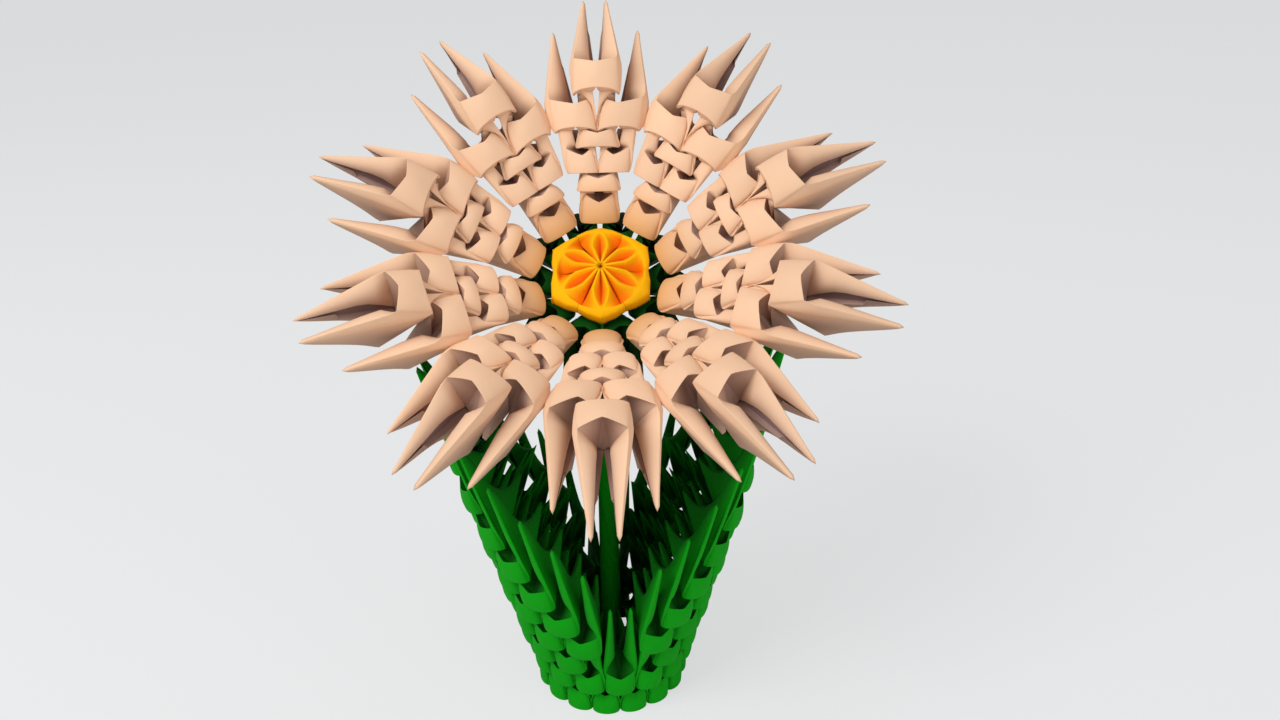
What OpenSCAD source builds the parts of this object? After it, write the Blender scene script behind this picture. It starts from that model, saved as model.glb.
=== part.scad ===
// Paper flower in a vase, built of folded triangle units.
// Every unit is one strip of paper folded to a pointed V: a rounded front band, a hollow behind it,
// two pockets that open below and two horns above. The horns of one row sit in the pockets of the next.
// The vase stands on its lowest ring with the origin at the middle of that ring. Its two leaves point
// to -X and +X, and the flower head leans to -Y on a stem of rolled paper.

/* [Folded unit] */
// Length of a unit from the rim of its band to the tip of a free horn
unit_len = 26.2; // [25:0.1:28]
// Depth of a unit from the band to the back corner of its wings
unit_depth = 13.1; // [12.5:0.1:13.4]
// Height of the band at the dip between the horns, where no row above pushes it down
band_h = 4.6; // [4.3:0.1:4.8]
// How far the neckline leans back from the rim of the band
neck_lean = 0.8; // [0.7:0.05:1]
// How far the tip of a free horn lies behind the rim of the band
tip_lean = 2.6; // [2:0.1:3.4]
// Thickness of the folded layers at the back corner of a wing
wing_t = 1; // [0.8:0.05:1.1]
// Thickness of the folded layers under the hollow
keel_t = 0.7; // [0.6:0.05:0.9]
// Depth of a pocket above the rim
pocket_h = 3.4; // [3.2:0.1:3.6]
// Play between the tip of a horn and the end of its pocket
pocket_play = 0.5; // [0.4:0.05:0.7]
// Gap between neighbouring units of one row
unit_gap = 0.1; // [0.1:0.01:0.16]

/* [Petals] */
// Number of petals
petal_n = 10; // [10:1:10]
// Radius of the ring of petal bases, at the rims of their first row
petal_base_r = 12.8; // [12.7:0.1:13.2]
// Height of the petal bases above the middle of the head
petal_base_z = 3.5; // [3.3:0.1:3.8]
// Width of the unit at the base of a petal
base_unit_w = 8.2; // [8:0.1:8.3]
// Width of the single unit above the base
second_unit_w = 9.4; // [9.2:0.1:9.5]
// Width of each unit of the lower pair
lower_pair_w = 6.7; // [6.6:0.1:6.8]
// Width of the unit between the two pairs
middle_unit_w = 9.2; // [9.1:0.1:9.3]
// Width of each unit of the upper pair
upper_pair_w = 9.2; // [9.1:0.1:9.3]
// Width of the unit at the tip
tip_unit_w = 10.2; // [9.9:0.1:10.4]
// Distance from the first row to the second
row_2_pitch = 7.1; // [7:0.1:7.3]
// Distance from the second row to the lower pair
row_3_pitch = 4; // [3.9:0.1:4.1]
// Distance from the lower pair to the middle unit
row_4_pitch = 5.6; // [5.5:0.1:5.8]
// Distance from the middle unit to the upper pair
row_5_pitch = 4.2; // [4.2:0.1:4.4]
// Distance from the upper pair to the tip unit
row_6_pitch = 8.2; // [8:0.1:8.4]
// Angle of each row of a petal above the plane of the head, from base to tip
petal_row_angles = [42, 38, 33, 26, 5, 0];
// Angle at which each row of a petal steps up from the row before it, from base to tip
petal_step_angles = [0, 46, 28, 32, 34, 40];
// How far the neckline of each row of a petal leans back from its rim, from base to tip: a row that stands
// open at the front has less than 0
petal_neck_leans = [0.6, 0.7, 0.7, -0.2, -1.9, -2.8];
// How far the tip of each outer horn of the upper pair spreads sideways
outer_spread = 2.6; // [2:0.1:3]
// How far the row above pushes down the back corners of each row, from base to tip
petal_wing_drops = [2, 3.6, 3, 4.1, 0, 0.4];

/* [Head] */
// Angle by which the head leans forward
head_lean = 41; // [38:1:43]
// Height of the middle of the head above the table
head_z = 93; // [92:0.1:96]
// How far the middle of the head lies behind the axis of the vase
head_back = 12.1; // [11.5:0.1:13]
// Distance from the rims of the calyx to the rims of the petals
calyx_pitch = 6; // [5.9:0.1:6.2]
// Width of a calyx unit
calyx_unit_w = 4.9; // [4.8:0.1:4.9]
// Angle of the calyx units above the plane of the head
calyx_angle = 38; // [36:1:39]
// How far the petals push down the back corners of the calyx
calyx_wing_drop = 5.5; // [5:0.1:6.5]

/* [Yellow centre] */
// Number of units in the centre
centre_n = 6; // [6:1:6]
// Radius of the centre at the rims of its units
centre_r = 10.1; // [9.9:0.1:10.2]
// Height of those rims above the middle of the head
centre_z = 3.4; // [3.3:0.1:3.8]
// Length of a centre unit
centre_len = 10.1; // [9.9:0.1:10.1]
// Depth of a centre unit
centre_depth = 5.3; // [5:0.1:5.6]
// Width of a centre unit
centre_unit_w = 10.2; // [10:0.1:10.3]
// Angle of the centre units above the plane of the head
centre_angle = 36; // [34:1:38]

/* [Stem] */
// Radius of the stem
stem_r = 2.4; // [2.2:0.05:2.6]
// Height of the foot of the stem above the table
stem_foot_z = 1; // [0.9:0.1:2]
// Radius of the bend under the head, along the middle of the stem
stem_bend_r = 16; // [14:0.5:18]
// Distance from the middle of the head down to where the straight stem would meet the axis of the head
stem_meet = 18; // [17:0.5:20]
// Radius of the cup on the stem that carries the calyx and the centre
cup_r = 7.9; // [7.7:0.05:8]
// Radius of the cup at its foot, where it is wrapped over the stem
cup_foot_r = 3; // [2.8:0.05:3.3]
// Length of stem inside the foot of the cup
cup_lap = 1; // [0.8:0.1:1.5]
// Height of the top of the cup above the middle of the head
cup_rise = 1.2; // [1:0.05:1.3]
// Play between the stem and the back corners of the lowest ring
stem_play = 0.25; // [0.2:0.05:0.4]

/* [Vase] */
// Units in each full ring
vase_n = 16; // [16:1:16]
// Radius of the lowest ring
vase_r = 17.7; // [17.2:0.1:18.5]
// Distance between the rows, measured along the wall
vase_pitch = 6.6; // [6.5:0.1:6.9]
// Lean of the wall of the vase in its lowest row, its second row and the rows above
vase_lean_angles = [0, 12, 16];
// Widest that a vase unit opens
vase_unit_w_max = 11.5; // [10.8:0.1:12]
// Turn of the front gap between the leaves, to +X
gap_turn = 6; // [0:1:10]

/* [Hidden] */
$fn = 24;
petal_row_pitches = [0, row_2_pitch, row_3_pitch, row_4_pitch, row_5_pitch, row_6_pitch];
petal_row_widths = [base_unit_w, second_unit_w, lower_pair_w, middle_unit_w, upper_pair_w, tip_unit_w];
petal_row_counts = [1, 1, 2, 1, 2, 1];
ring_rows = 2;
leaf_columns = vase_n / 2 - 1;
vase_rows = ring_rows + leaf_columns + 1;

// Shares of a unit's width: across, then back from the rim
shoulder_shares = [0.3, 0.05];
side_shares = [0.5, 0.26];
neck_foot_shares = [0.46, 0.22];
neck_back_share = 0.1;
mouth_inner_shares = [0.05, 0.13];
mouth_outer_shares = [0.33, 0.1];
mouth_side_share = 0.46;
pocket_back_share = 0.27;
horn_share = 0.25;
// Height of the neckline at the foot of a horn, as a share of the height of the band
neck_share = 1.385;
// Band of a unit under a tight row, as a share of the distance to that row
band_share = 0.69;
// Front of the hollow, back from the rim and above it, as shares of the thickness under it
hollow_foot_shares = [3, 4];
// Shares of a unit's depth at which the hollow and the mouth of a pocket end
hollow_back_share = 0.57;
mouth_back_share = 0.86;

// A pose is a unit's rim centre and its sideways, backward and upward directions
function place(pose, p) = pose[0] + pose[1] * p.x + pose[2] * p.y + pose[3] * p.z;
function offset_from(pose, q) = q - pose[0];
function within(pose, q) = [
    offset_from(pose, q) * pose[1],
    offset_from(pose, q) * pose[2],
    offset_from(pose, q) * pose[3]
];

// Fan of a unit: how its width grows per millimetre upward and shrinks per millimetre backward
function fanned(fan, p) = [p.x * (1 + fan[0] * p.z - fan[1] * p.y), p.y, p.z];

// End of the pocket on one side of a unit, and the place where a seated horn tip ends in it
function pocket_end(w, side, fan) = fanned(fan, [side * horn_share * w, pocket_back_share * w, pocket_h]);
function seat(w, side, fan) =
    fanned(fan, [side * horn_share * w, pocket_back_share * w, pocket_h - pocket_play]);
function free_tip(w, side, len, fan) = fanned(fan, [side * horn_share * w, tip_lean, len]);

// End of the neckline: at a height on the line from the rim near the flank to the tip of the horn, or in
// front of that line where the horn bends far back
function neck_foot(w, side, fan) = fanned(fan, [side * neck_foot_shares[0] * w, neck_foot_shares[1] * w, 0]);
function neck_point(w, foot, tip, height, lean) =
    let (on_line = foot + (tip - foot) * height / tip.z)
    [on_line.x, min(on_line.y, lean + neck_back_share * w), height];

// The eleven points on one side of a unit, whose back corner lies at the given depth and rise
function side_points(w, side, depth, rise, band, lean, tip, fan) = [
    fanned(fan, [side * shoulder_shares[0] * w, shoulder_shares[1] * w, 0]),
    fanned(fan, [side * (side_shares[0] * w - unit_gap / 2), side_shares[1] * w, 0]),
    fanned(fan, [side * (horn_share * w + wing_t / 2), depth, rise]),
    fanned(fan, [side * (horn_share * w - wing_t / 2), depth, rise]),
    tip,
    neck_point(w, neck_foot(w, side, fan), tip, neck_share * band, lean),
    fanned(fan, [side * mouth_inner_shares[0] * w, mouth_inner_shares[1] * w, 0]),
    fanned(fan, [side * mouth_outer_shares[0] * w, mouth_outer_shares[1] * w, 0]),
    fanned(fan, [side * mouth_side_share * w, side_shares[1] * w + unit_gap, 0]),
    fanned(fan, [side * horn_share * w, mouth_back_share * depth, mouth_back_share * rise]),
    pocket_end(w, side, fan)
];

// The four points in the middle of a unit: rim, dip, front of the hollow and back of the hollow
function middle_points(depth, rise, band, lean) = [
    [0, 0, 0],
    [0, lean, band],
    [0, hollow_foot_shares[0] * keel_t, hollow_foot_shares[1] * keel_t],
    [0, hollow_back_share * depth, hollow_back_share * rise]
];

// Faces of the side whose points start at s, over the middle points 0 to 3, wound for the right side
function side_faces(s) =
    let (shoulder = s, flank = s + 1, back_out = s + 2, back_in = s + 3, tip = s + 4, neck = s + 5)
    let (mouth_in = s + 6, mouth_out = s + 7, mouth_flank = s + 8, mouth_back = s + 9, end = s + 10)
    [
        [0, 1, neck], [0, neck, shoulder],
        [shoulder, neck, flank], [flank, neck, tip], [flank, tip, back_out],
        [back_out, tip, back_in],
        [1, 2, neck], [2, 3, neck], [3, tip, neck], [3, back_in, tip],
        [0, shoulder, mouth_in], [shoulder, mouth_out, mouth_in], [shoulder, flank, mouth_out],
        [flank, mouth_flank, mouth_out], [flank, back_out, mouth_flank], [back_out, mouth_back, mouth_flank],
        [back_out, back_in, mouth_back], [back_in, 3, mouth_back], [3, mouth_in, mouth_back], [3, 0, mouth_in],
        [mouth_in, mouth_out, end], [mouth_out, mouth_flank, end],
        [mouth_flank, mouth_back, end], [mouth_back, mouth_in, end]
    ];
function turned(faces) = [for (f = faces) [f[0], f[2], f[1]]];

// One folded unit at a pose, with the tips of its left and right horns given in its own frame
module folded_unit(pose, w, left_tip, right_tip, depth = unit_depth, drop = 0, band = band_h,
    lean = neck_lean, fan = [0, 0]) {
    middle = middle_points(depth, depth - drop, band, lean);
    right = side_points(w, 1, depth, depth - drop, band, lean, right_tip, fan);
    left = side_points(w, -1, depth, depth - drop, band, lean, left_tip, fan);
    own_points = concat(middle, right, left);
    middle_count = len(middle);
    polyhedron(
        points = [for (p = own_points) place(pose, p)],
        faces = concat(side_faces(middle_count), turned(side_faces(middle_count + len(right))))
    );
}

// Petal rows: rim places along the arch of a petal, in its radial plane
function row_rim(row) = row == 0
    ? [petal_base_r, petal_base_z]
    : row_rim(row - 1) + petal_row_pitches[row] * [cos(petal_step_angles[row]), sin(petal_step_angles[row])];

// Pose of a unit that faces the head's axis: azimuth, sideways place, rim place in the radial plane, angle
function inward_pose(azimuth, across, rim, angle) =
    let (out = [cos(azimuth), sin(azimuth), 0], aside = [sin(azimuth), -cos(azimuth), 0], up = [0, 0, 1])
    [
        out * rim[0] + aside * across + up * rim[1],
        aside,
        out * sin(angle) - up * cos(angle),
        out * cos(angle) + up * sin(angle)
    ];
function petal_azimuth(petal) = 90 + petal * 360 / petal_n;
function petal_pose(petal, row, place_in_row) =
    inward_pose(petal_azimuth(petal), place_in_row * petal_row_widths[row] / 2, row_rim(row),
        petal_row_angles[row]);

// Sides of the row's middle line that a unit can lie on: 0 for a single unit, -1 and 1 for a pair
function places_in_row(row) = petal_row_counts[row] == 1 ? [0] : [-1, 1];

// The unit and pocket that take a horn: [row, place in row, side], or an empty list for a free horn
function horn_host(row, at, side) =
    row == 0 ? [1, 0, side]
    : row == 1 ? [2, side, -side]
    : row == 2 ? (side == at ? [4, at, at] : [3, 0, at])
    : row == 3 ? [4, side, -side]
    : row == 4 ? (side == at ? [] : [5, 0, at])
    : [];
function petal_tip(petal, row, at, side) =
    let (host = horn_host(row, at, side), pose = petal_pose(petal, row, at))
    len(host) == 0
        ? free_tip(petal_row_widths[row], side, unit_len, [0, 0]) + [at * outer_spread, 0, 0]
        : within(pose, place(petal_pose(petal, host[0], host[1]),
            seat(petal_row_widths[host[0]], host[2], [0, 0])));

// Band of a row: pushed down by the next row, but free in the last one
function row_band(row) =
    row + 1 < len(petal_row_pitches) ? min(band_h, band_share * petal_row_pitches[row + 1]) : band_h;

module petal_row(petal, row) {
    for (at = places_in_row(row))
        folded_unit(petal_pose(petal, row, at), petal_row_widths[row],
            petal_tip(petal, row, at, -1), petal_tip(petal, row, at, 1),
            drop = petal_wing_drops[row], band = row_band(row), lean = petal_neck_leans[row]);
}

// Calyx: a ring of green units under the petals, half a step round from them
calyx_rim = row_rim(0) - calyx_pitch * [cos(calyx_angle), sin(calyx_angle)];
function calyx_pose(k) = inward_pose(petal_azimuth(k + 0.5), 0, calyx_rim, calyx_angle);
function calyx_tip(k, side) =
    within(calyx_pose(k), place(petal_pose(side > 0 ? k : k + 1, 0, 0), seat(base_unit_w, -side, [0, 0])));

// Yellow centre: units that face outward, with their horns laid inward to the middle
centre_fan = [-cos(centre_angle), sin(centre_angle)] / centre_r;
function outward_pose(azimuth, r, z, up_out, up_z) =
    let (out = [cos(azimuth), sin(azimuth), 0], up = [0, 0, 1])
    [
        out * r + up * z,
        [-sin(azimuth), cos(azimuth), 0],
        up * up_out - out * up_z,
        out * up_out + up * up_z
    ];
function centre_pose(k) =
    outward_pose(90 + k * 360 / centre_n, centre_r, centre_z, -cos(centre_angle), sin(centre_angle));

// Vase rows: lean, radius and height of each row, counted from 0
function vase_lean(row) = vase_lean_angles[min(row, len(vase_lean_angles) - 1)];
function vase_rim(row) = row == 0
    ? [vase_r, 0]
    : vase_rim(row - 1) + vase_pitch * [sin(vase_lean(row)), cos(vase_lean(row))];
function vase_unit_w(row) = min(360 / vase_n * PI / 180 * vase_rim(row)[0], vase_unit_w_max);
function vase_fan(row) = [sin(vase_lean(row)), cos(vase_lean(row))] / vase_rim(row)[0];

// Units in a row of one leaf: the full half less the gap, then narrower, then one less each row
function leaf_count(row) = row == ring_rows ? leaf_columns - 1 : leaf_columns - (row - ring_rows - 1);

// Column of a unit, counted in whole units from the middle of its leaf
function vase_azimuth(leaf, column) = gap_turn + (leaf > 0 ? 0 : 180) + column * 360 / vase_n;
function vase_pose(leaf, row, column) =
    outward_pose(vase_azimuth(leaf, column), vase_rim(row)[0], vase_rim(row)[1], sin(vase_lean(row)),
        cos(vase_lean(row)));
function leaf_half(row) = (leaf_count(row) - 1) / 2;
function is_host(row, column) = row < ring_rows || (row < vase_rows && abs(column) <= leaf_half(row));

// First column of the half of a ring that lies under one leaf
ring_start = 1 - vase_n / 4;

// Row that takes a horn: the next one, or the one after it above an empty place, or 0 for a free horn
function vase_host(row, column, side) =
    row + 1 < vase_rows && is_host(row + 1, column + side / 2) ? row + 1
    : row == ring_rows - 1 && abs(column) < leaf_columns / 2 ? row + 2
    : 0;
function vase_tip(leaf, row, column, side) =
    let (host = vase_host(row, column, side))
    let (host_column = host == row + 1 ? column + side / 2 : column, host_side = host == row + 1 ? -side : side)
    host == 0
        ? free_tip(vase_unit_w(row), side, unit_len, vase_fan(row))
        : within(vase_pose(leaf, row, column), place(vase_pose(leaf, host, host_column),
            seat(vase_unit_w(host), host_side, vase_fan(host))));

module vase_unit(leaf, row, column) {
    folded_unit(vase_pose(leaf, row, column), vase_unit_w(row), vase_tip(leaf, row, column, -1),
        vase_tip(leaf, row, column, 1), fan = vase_fan(row));
}

// Stem: straight from its foot, against the back of the lowest ring, then bent forward to the axis of the
// head, then widened to a cup
stem_meet_back = head_back + stem_meet * sin(head_lean);
stem_meet_z = head_z - stem_meet * cos(head_lean);
stem_ring_back = vase_r - unit_depth - stem_r - stem_play;
stem_lean = atan2(stem_meet_back - stem_ring_back, stem_meet_z - unit_depth);
stem_foot_back = stem_ring_back - (unit_depth - stem_foot_z) * tan(stem_lean);
stem_bend = head_lean + stem_lean;
stem_bend_reach = stem_bend_r * tan(stem_bend / 2);
cup_lap_angle = cup_lap / stem_bend_r * 180 / PI;
stem_straight = (stem_meet_z - stem_foot_z) / cos(stem_lean) - stem_bend_reach;
cup_h = stem_meet - stem_bend_reach + cup_rise;

module on_head() {
    translate([0, head_back, head_z]) rotate([head_lean, 0, 0]) children();
}

// Sub-parts
module petal_base(petal) {
    color("oldlace") on_head() for (row = [0, 1]) petal_row(petal, row);
}
module petal_body(petal) {
    color("oldlace") on_head() for (row = [2, 3]) petal_row(petal, row);
}
module petal_end(petal) {
    color("oldlace") on_head() for (row = [4, 5]) petal_row(petal, row);
}
module calyx_ring() {
    color("forestgreen") on_head()
        for (k = [0 : petal_n - 1])
            folded_unit(calyx_pose(k), calyx_unit_w, calyx_tip(k, -1), calyx_tip(k, 1),
                drop = calyx_wing_drop, band = band_share * calyx_pitch);
}
module centre_unit(k) {
    color("gold") on_head()
        folded_unit(centre_pose(k), centre_unit_w,
            free_tip(centre_unit_w, -1, centre_len, centre_fan),
            free_tip(centre_unit_w, 1, centre_len, centre_fan),
            centre_depth, fan = centre_fan);
}
module stem() {
    color("darkgreen") translate([0, stem_foot_back, stem_foot_z]) rotate([-stem_lean, 0, 0]) {
        cylinder(h = stem_straight, r = stem_r);
        translate([0, -stem_bend_r, stem_straight]) {
            rotate([90, 0, 90])
                rotate_extrude(angle = stem_bend + cup_lap_angle) translate([stem_bend_r, 0]) circle(stem_r);
            rotate([stem_bend, 0, 0]) translate([0, stem_bend_r, 0]) cylinder(h = cup_h, r1 = cup_foot_r, r2 = cup_r);
        }
    }
}
module vase_ring(row) {
    color("forestgreen")
        for (leaf = [-1, 1], k = [0 : vase_n / 2 - 1])
            vase_unit(leaf, row, k + ring_start - (row % 2 == 1 ? 0 : 0.5));
}
module leaf_row(leaf, row) {
    color("forestgreen")
        for (k = [0 : leaf_count(row) - 1]) vase_unit(leaf, row, k - leaf_half(row));
}

petal_numbers = [for (k = [1 : petal_n]) k];
leaf_rows = [for (row = [ring_rows : vase_rows - 1]) row];

for (k = petal_numbers) {
    petal_base(k - 1);
    petal_body(k - 1);
    petal_end(k - 1);
}
calyx_ring();
stem();
for (k = [1 : centre_n])
    centre_unit(k - 1);
for (row = [0 : ring_rows - 1])
    vase_ring(row);
for (row = leaf_rows) {
    leaf_row(-1, row);
    leaf_row(1, row);
}
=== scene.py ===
"""Looks of a paper flower in a vase, folded from triangle units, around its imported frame.

Lengths are in millimetres until a piece becomes a mesh, which is in metres.
"""

import math
from collections import namedtuple

import bpy
import numpy as np
from mathutils import Matrix, Vector


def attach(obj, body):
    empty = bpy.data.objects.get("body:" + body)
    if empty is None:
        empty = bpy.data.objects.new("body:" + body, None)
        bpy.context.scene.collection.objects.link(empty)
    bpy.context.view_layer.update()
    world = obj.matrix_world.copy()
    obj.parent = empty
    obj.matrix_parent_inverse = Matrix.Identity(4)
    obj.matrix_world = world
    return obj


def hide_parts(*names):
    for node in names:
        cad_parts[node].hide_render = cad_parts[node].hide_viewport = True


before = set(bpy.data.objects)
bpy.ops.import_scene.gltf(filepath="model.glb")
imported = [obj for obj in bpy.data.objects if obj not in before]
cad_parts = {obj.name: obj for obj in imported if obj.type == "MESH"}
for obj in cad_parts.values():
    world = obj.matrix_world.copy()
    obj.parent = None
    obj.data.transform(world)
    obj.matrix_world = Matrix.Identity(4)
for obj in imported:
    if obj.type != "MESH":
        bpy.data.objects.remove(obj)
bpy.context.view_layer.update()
MM = 0.001

# The folded unit: its lengths
UNIT_LEN, UNIT_DEPTH, BAND_H = 26.2, 13.1, 4.6
NECK_LEAN, TIP_LEAN = 0.8, 2.6
WING_T, KEEL_T = 1.0, 0.7
POCKET_H, POCKET_PLAY, UNIT_GAP = 3.4, 0.5, 0.1

# Its corners aside and back, as shares of its width
FLANK, NECK_FOOT, NECK_BACK = (0.5, 0.26), (0.46, 0.22), 0.1
MOUTH_IN, MOUTH_OUT, MOUTH_SIDE = (0.05, 0.13), (0.33, 0.1), 0.46
POCKET_BACK, HORN = 0.27, 0.25

# Shares of its band, of the pitch above it, of its keel and of its depth
NECK_RISE, BAND_SHARE = 1.385, 0.69
HOLLOW_FOOT = (3, 4)
HOLLOW_BACK, MOUTH_BACK = 0.57, 0.86

# Petals: ten of six rows, of which two are pairs of units
PETALS, PETAL_R, PETAL_Z = 10, 12.8, 3.5
ROW_WIDTHS = (8.2, 9.4, 6.7, 9.2, 9.2, 10.2)
ROW_PITCHES = (0, 7.1, 4, 5.6, 4.2, 8.2)
ROW_ANGLES = (42, 38, 33, 26, 5, 0)
ROW_STEPS = (0, 46, 28, 32, 34, 40)
ROW_LEANS = (0.6, 0.7, 0.7, -0.2, -1.9, -2.8)
ROW_DROPS = (2, 3.6, 3, 4.1, 0, 0.4)
PAIR_ROWS = (2, 4)
OUTER_SPREAD = 2.6

# Head, calyx and stem: the first petal and the first yellow unit lie at the top of the head
HEAD_LEAN, HEAD_Z, HEAD_BACK, FIRST_TURN = 41, 93, 12.1, 90
CALYX_PITCH, CALYX_W, CALYX_ANGLE, CALYX_DROP = 6, 4.9, 38, 5.5
STEM_R, STEM_FOOT_Z, STEM_BEND_R, STEM_MEET = 2.4, 1, 16, 18
CUP_R, CUP_FOOT_R, CUP_RISE, STEM_PLAY = 7.9, 3, 1.2, 0.25

# Vase
VASE_N, VASE_R, VASE_PITCH, VASE_LEANS = 16, 17.7, 6.6, (0, 12, 16)
VASE_W_MAX, GAP_TURN = 11.5, 6
RING_ROWS, LEAF_COLUMNS, VASE_ROWS = 2, 7, 10

# Random numbers: each strip's shade and the small unevenness of the centre
rng = np.random.default_rng(seed=7)


# Sums in three dimensions
def vec(*p):
    return np.array(p, float)


def sin_d(a):
    return math.sin(math.radians(a))


def cos_d(a):
    return math.cos(math.radians(a))


def lerp(a, b, t):
    return a + (b - a) * t


def repeated(p, count):
    return np.repeat(p[None], count, 0)


# Poses: a rim centre and the sideways, backward and upward directions as the rows of a matrix
def place(pose, p):
    return pose[0] + p @ pose[1]


def within(pose, q):
    return (q - pose[0]) @ pose[1].T


NO_FAN = (0, 0)


def fanned(fan, x, y, z):
    """A point of a unit on a cone, which widens with its height and narrows with its depth."""
    return vec(x * (1 + fan[0] * z - fan[1] * y), y, z)


def inward_pose(azimuth, across, rim, angle):
    """A unit of the head, which shows its band to the inside of the bowl."""
    out, up = vec(cos_d(azimuth), sin_d(azimuth), 0), vec(0, 0, 1)
    aside = vec(sin_d(azimuth), -cos_d(azimuth), 0)
    back = out * sin_d(angle) - up * cos_d(angle)
    along = out * cos_d(angle) + up * sin_d(angle)
    return out * rim[0] + aside * across + up * rim[1], np.array([aside, back, along])


def outward_pose(azimuth, rim, up_out, up_z):
    """A unit of the vase, which shows its band to the outside."""
    out, up = vec(cos_d(azimuth), sin_d(azimuth), 0), vec(0, 0, 1)
    aside = vec(-sin_d(azimuth), cos_d(azimuth), 0)
    turn = np.array([aside, up * up_out - out * up_z, out * up_out + up * up_z])
    return out * rim[0] + up * rim[1], turn


def free_tip(w, side, fan):
    """The point of a horn that no pocket takes."""
    return fanned(fan, side * HORN * w, TIP_LEAN, UNIT_LEN)


# Sampling of one edge: near loops at both ends keep the folds crisp but round
FOLD_R, FOLD_SHARE_MAX, SHORTEST = 0.16, 0.3, 1e-6


def steps(length, inner):
    """Shares of an edge: its ends, a point near each end, and inner points between those."""
    near = min(FOLD_R / max(length, SHORTEST), FOLD_SHARE_MAX)
    return np.concatenate([[0], np.linspace(near, 1 - near, inner + 2), [1]])


def edge(a, b, inner=0, swell=None):
    """Points from a to b, bowed out at the middle by the swell."""
    t = steps(np.linalg.norm(b - a), inner)[:, None]
    points = a + (b - a) * t
    return points if swell is None else points + 4 * t * (1 - t) * swell


def sheet(near, far, inner=0):
    """Rows of points from each point of one edge to the matching point of another."""
    return np.array([edge(a, b, inner) for a, b in zip(near, far)])


# Points that agree to this many digits of a millimetre are one point
SAME_DIGITS = 4


class Paper:
    """Gathers patches of points into one mesh, with a fold depth for each point, which sets its painted
    shade.
    """

    def __init__(self):
        self.points, self.depths, self.faces, self.count = [], [], [], 0

    def patch(self, grid, depth, flip=False, closed=False):
        rows, cols = grid.shape[:2]
        index = self.count + np.arange(rows * cols).reshape(rows, cols)
        if closed:
            index = np.hstack([index, index[:, :1]])
        corners = [index[:-1, :-1], index[1:, :-1], index[1:, 1:], index[:-1, 1:]]
        quads = np.stack(corners, -1).reshape(-1, 4)
        self.faces.append(quads[:, ::-1] if flip else quads)
        self.points.append(grid.reshape(-1, 3))
        self.depths.append(np.broadcast_to(depth, (rows, cols)).reshape(-1))
        self.count += rows * cols

    def merged(self):
        """Points, fold depths and faces, with points that coincide joined and empty faces left out."""
        points, depths = np.concatenate(self.points), np.concatenate(self.depths)
        rounded = np.round(points, SAME_DIGITS)
        _, first, same = np.unique(rounded, axis=0, return_index=True, return_inverse=True)
        clean = []
        for face in same.reshape(-1)[np.concatenate(self.faces)].tolist():
            loop = [v for i, v in enumerate(face) if v != face[i - 1]]
            if len(loop) > 2 and len(set(loop)) == len(loop):
                clean.append(loop)
        return points[first], depths[first], clean


# How far the sides of a horn stand out, as shares of its unit's width
OUTER_FLARE, TIP_FLARE, VASE_FLARE, SEATED_FLARE = 0.2, 0.07, 0.06, 0.05
# How far the back edge of a free horn is hollowed towards its front, as a share of its depth
PETAL_HOLLOW, VASE_HOLLOW = 0.12, 0.5
# The last section of a free horn: its radius, how far it lies below the tip, and its neck, flank, two
# back corners and slit in tip radii
TIP_R, TIP_H = 0.5, 1.0
TIP_CORNERS = ((0.4, -1), (0.9, -0.4), (0.6, 1.1), (-0.2, 1.2), (-0.9, 0.2))
# A seated horn: how deep its last section lies in the pocket, and its back and slit corners in widths
SEATED_IN, MOUTH_PLAY = 0.35, 0.14
SEAT_BACK, SEAT_BACK_ASIDE = 0.5, (0.32, 0.18)
SEAT_SLIT_BACK, SEAT_SLIT_ASIDE, SEAT_SLIT_CROSSED = 0.36, 0.12, 0.4

# One horn's end: five corners of its last section, the swell of its side, the point it closes on, and
# how it flares and hollows on the way there
HornEnd = namedtuple("HornEnd", "corners swell tip flare hollow")


def free_end(tip, side, flare, hollow):
    """The blunt end of a horn that no pocket takes."""
    at = tip - vec(0, 0, TIP_H)
    corners = [at + TIP_R * vec(side * x, y, 0) for x, y in TIP_CORNERS]
    return HornEnd(corners, vec(0, 0, 0), tip, flare, hollow)


def seated_end(pose, host_pose, w, side, fan, crossed):
    """The end of a horn that fills the mouth of its pocket, in the frame of the horn's own unit."""

    def on_host(x, y, z):
        return fanned(fan, side * x * w, y * w, z)

    def to_own(p):
        return within(pose, place(host_pose, p))

    axis = on_host(HORN, POCKET_BACK, POCKET_H)
    mouth = (MOUTH_IN, MOUTH_OUT, (MOUTH_SIDE, FLANK[1]))
    inner, middle, outer = [lerp(on_host(x, y, SEATED_IN), axis, MOUTH_PLAY) for x, y in mouth]
    behind = [on_host(x, SEAT_BACK, SEATED_IN) for x in SEAT_BACK_ASIDE]
    slit = on_host(SEAT_SLIT_CROSSED if crossed else SEAT_SLIT_ASIDE, SEAT_SLIT_BACK, SEATED_IN)
    near, far = (outer, inner) if crossed else (inner, outer)
    backs = behind[::-1] if crossed else behind
    corners = [to_own(p) for p in (near, far, *backs, slit)]
    swell = to_own(middle) - (corners[0] + corners[1]) / 2
    seat = on_host(HORN, POCKET_BACK, POCKET_H - POCKET_PLAY)
    return HornEnd(corners, swell, to_own(seat), SEATED_FLARE, 0)


# Band: its points round half a unit, its swell, and how sharply its neckline dips to the middle
BAND_INNER, BAND_SWELL, SWELL_POWER = 3, 0.35, 0.5
NECK_BACK_POWER, NECK_RISE_POWER = 1.4, 1.2
ARC = np.radians(np.linspace(0, 90, num=9))
SINES, COSINES = np.sin(ARC), np.cos(ARC)
BAND_OUT = np.stack([SINES, -COSINES, 0 * SINES], 1) * COSINES[:, None] ** SWELL_POWER * BAND_SWELL

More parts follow.
